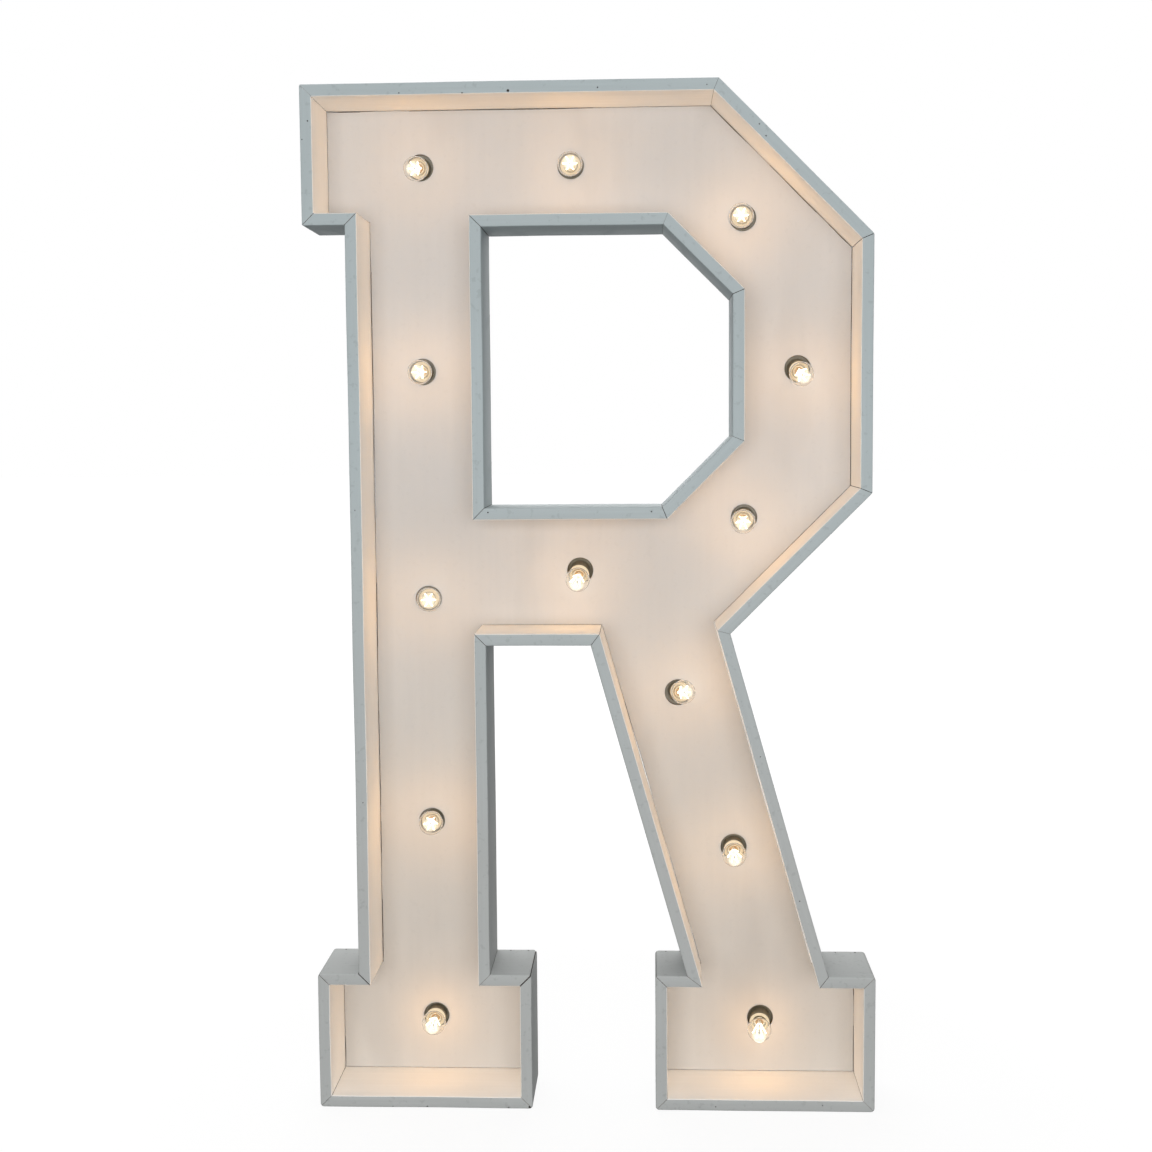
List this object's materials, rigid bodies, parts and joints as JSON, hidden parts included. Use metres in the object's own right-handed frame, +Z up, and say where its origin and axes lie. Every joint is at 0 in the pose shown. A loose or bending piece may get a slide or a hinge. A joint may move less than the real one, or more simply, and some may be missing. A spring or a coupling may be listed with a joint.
{
  "type": "light-up letter",
  "caption": "Free-standing block letter R lamp: mitred board tray round a drilled panel, screw-in clear bulbs, rear wiring with a switched feed box.",
  "frame": {"origin": "on the floor under the middle of the part's width and depth", "axes": "+Z up, -Y out of the lit front, +X to the reader's right"},
  "size_m": [0.6702, 0.1424, 1.219],
  "materials": {
    "frame_paint": "pale grey satin paint",
    "panel_paint": "off-white satin paint",
    "bulb_glass": "clear",
    "bulb_brass": "rolled thread",
    "holder_plastic": "warm grey satin",
    "cable_rubber": "matt black",
    "clip_plastic": "moulded",
    "box_plastic": "fine grain",
    "gland_plastic": "moulded",
    "rocker_plastic": "polished"
  },
  "bodies": {
    "letter": {"top_board": "frame_paint", "bowl_upper_slant_board": "frame_paint", "bowl_side_board": "frame_paint", "bowl_lower_slant_board": "frame_paint", "leg_outer_board": "frame_paint", "right_foot_toe_board": "frame_paint", "right_foot_outer_board": "frame_paint", "right_foot_base_board": "frame_paint", "right_foot_inner_board": "frame_paint", "right_foot_heel_board": "frame_paint", "leg_inner_board": "frame_paint", "crotch_board": "frame_paint", "stem_inner_board": "frame_paint", "left_foot_heel_board": "frame_paint", "left_foot_inner_board": "frame_paint", "left_foot_base_board": "frame_paint", "left_foot_outer_board": "frame_paint", "left_foot_toe_board": "frame_paint", "stem_outer_board": "frame_paint", "top_serif_under_board": "frame_paint", "top_serif_end_board": "frame_paint", "counter_bottom_board": "frame_paint", "counter_lower_slant_board": "frame_paint", "counter_side_board": "frame_paint", "counter_upper_slant_board": "frame_paint", "counter_top_board": "frame_paint", "counter_stem_board": "frame_paint", "back_panel": "panel_paint", "lampholders": "holder_plastic", "lamp_cable": "cable_rubber", "cable_clips": "clip_plastic", "feed_box": "box_plastic", "cable_gland": "gland_plastic"},
    "bulb_1": {"bulb_1_glass": "bulb_glass", "bulb_1_base": "bulb_brass"},
    "bulb_2": {"bulb_2_glass": "bulb_glass", "bulb_2_base": "bulb_brass"},
    "bulb_3": {"bulb_3_glass": "bulb_glass", "bulb_3_base": "bulb_brass"},
    "bulb_4": {"bulb_4_glass": "bulb_glass", "bulb_4_base": "bulb_brass"},
    "bulb_5": {"bulb_5_glass": "bulb_glass", "bulb_5_base": "bulb_brass"},
    "bulb_6": {"bulb_6_glass": "bulb_glass", "bulb_6_base": "bulb_brass"},
    "bulb_7": {"bulb_7_glass": "bulb_glass", "bulb_7_base": "bulb_brass"},
    "bulb_8": {"bulb_8_glass": "bulb_glass", "bulb_8_base": "bulb_brass"},
    "bulb_9": {"bulb_9_glass": "bulb_glass", "bulb_9_base": "bulb_brass"},
    "bulb_10": {"bulb_10_glass": "bulb_glass", "bulb_10_base": "bulb_brass"},
    "bulb_11": {"bulb_11_glass": "bulb_glass", "bulb_11_base": "bulb_brass"},
    "bulb_12": {"bulb_12_glass": "bulb_glass", "bulb_12_base": "bulb_brass"},
    "bulb_13": {"bulb_13_glass": "bulb_glass", "bulb_13_base": "bulb_brass"},
    "rocker": {"switch_rocker": "rocker_plastic"}
  },
  "joints": [
    {"name": "bulb_1_turn", "type": "hinge", "parent": "letter", "child": "bulb_1", "pos_m": [-0.20813, 0.03004, 1.1365], "axis": [-0.0346, -0.9897, -0.1392], "range_deg": [0, 1170]},
    {"name": "bulb_2_turn", "type": "hinge", "parent": "letter", "child": "bulb_2", "pos_m": [-0.02568, 0.02872, 1.1365], "axis": [0.0174, -0.9974, -0.0698], "range_deg": [0, 1170]},
    {"name": "bulb_3_turn", "type": "hinge", "parent": "letter", "child": "bulb_3", "pos_m": [0.18134, 0.02912, 1.07197], "axis": [-0.0871, -0.9956, -0.0349], "range_deg": [0, 1170]},
    {"name": "bulb_4_turn", "type": "hinge", "parent": "letter", "child": "bulb_4", "pos_m": [0.24787, 0.03104, 0.891], "axis": [0.0514, -0.9803, -0.1908], "range_deg": [0, 1170]},
    {"name": "bulb_5_turn", "type": "hinge", "parent": "letter", "child": "bulb_5", "pos_m": [0.18322, 0.02945, 0.71091], "axis": [-0.0695, -0.9938, -0.0872], "range_deg": [0, 1170]},
    {"name": "bulb_6_turn", "type": "hinge", "parent": "letter", "child": "bulb_6", "pos_m": [-0.01768, 0.03165, 0.6465], "axis": [-0.051, -0.973, -0.225], "range_deg": [0, 1170]},
    {"name": "bulb_7_turn", "type": "hinge", "parent": "letter", "child": "bulb_7", "pos_m": [-0.20863, 0.02811, 0.891], "axis": [0.0174, -0.9992, -0.0349], "range_deg": [0, 1170]},
    {"name": "bulb_8_turn", "type": "hinge", "parent": "letter", "child": "bulb_8", "pos_m": [-0.20563, 0.02955, 0.612], "axis": [0.1044, -0.9932, 0.0523], "range_deg": [0, 1170]},
    {"name": "bulb_9_turn", "type": "hinge", "parent": "letter", "child": "bulb_9", "pos_m": [-0.20563, 0.02971, 0.333], "axis": [0.0694, -0.9921, 0.1045], "range_deg": [0, 1170]},
    {"name": "bulb_10_turn", "type": "hinge", "parent": "letter", "child": "bulb_10", "pos_m": [-0.20363, 0.02811, 0.083], "axis": [0.0174, -0.9992, 0.0349], "range_deg": [0, 1170]},
    {"name": "bulb_11_turn", "type": "hinge", "parent": "letter", "child": "bulb_11", "pos_m": [0.10186, 0.03104, 0.495], "axis": [0.1553, -0.9803, 0.1219], "range_deg": [0, 1170]},
    {"name": "bulb_12_turn", "type": "hinge", "parent": "letter", "child": "bulb_12", "pos_m": [0.17075, 0.02841, 0.301], "axis": [-0.0174, -0.9985, -0.0523], "range_deg": [0, 1170]},
    {"name": "bulb_13_turn", "type": "hinge", "parent": "letter", "child": "bulb_13", "pos_m": [0.20395, 0.02998, 0.083], "axis": [-0.0692, -0.9901, -0.1219], "range_deg": [0, 1170]},
    {"name": "switch_tilt", "type": "hinge", "parent": "letter", "child": "rocker", "pos_m": [-0.13453, 0.06089, 0.097], "axis": [1, 0, 0], "range_deg": [-24, 0]}
  ]
}
